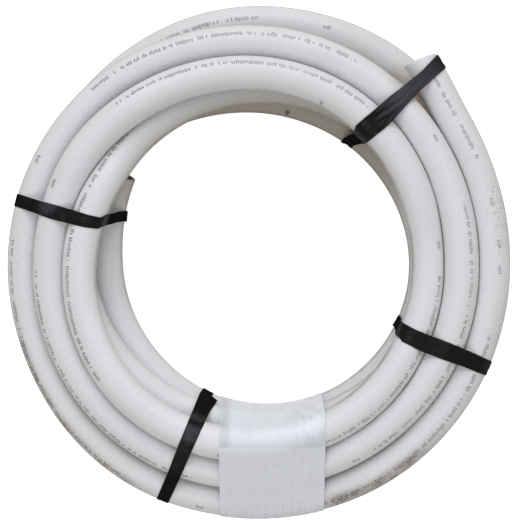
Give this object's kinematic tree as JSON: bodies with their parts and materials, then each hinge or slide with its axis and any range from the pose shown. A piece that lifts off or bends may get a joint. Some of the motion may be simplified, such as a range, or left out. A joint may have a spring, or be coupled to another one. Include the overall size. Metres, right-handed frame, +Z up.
{
  "type": "coil of flexible pvc pipe",
  "caption": "Coil of white flexible PVC pipe wound in flat layers, tied with loops of black tape and a sleeve of stretch film.",
  "frame": {"origin": "on the floor, at the middle of the coil's footprint", "axes": "+Z up along the coil's axis; +X and +Y across the coil, with the outer end's mouth between them"},
  "size_m": [0.7229, 0.7213, 0.1515],
  "materials": {
    "pipe": "satin white PVC, finely ribbed",
    "tape": "glossy black vinyl tape",
    "film": "glossy translucent stretch film"
  },
  "bodies": {
    "root": {"pipe": "pipe", "band_left": "tape", "band_top_right": "tape", "band_right": "tape", "band_bottom_left": "tape", "film_wrap": "film"}
  },
  "joints": []
}
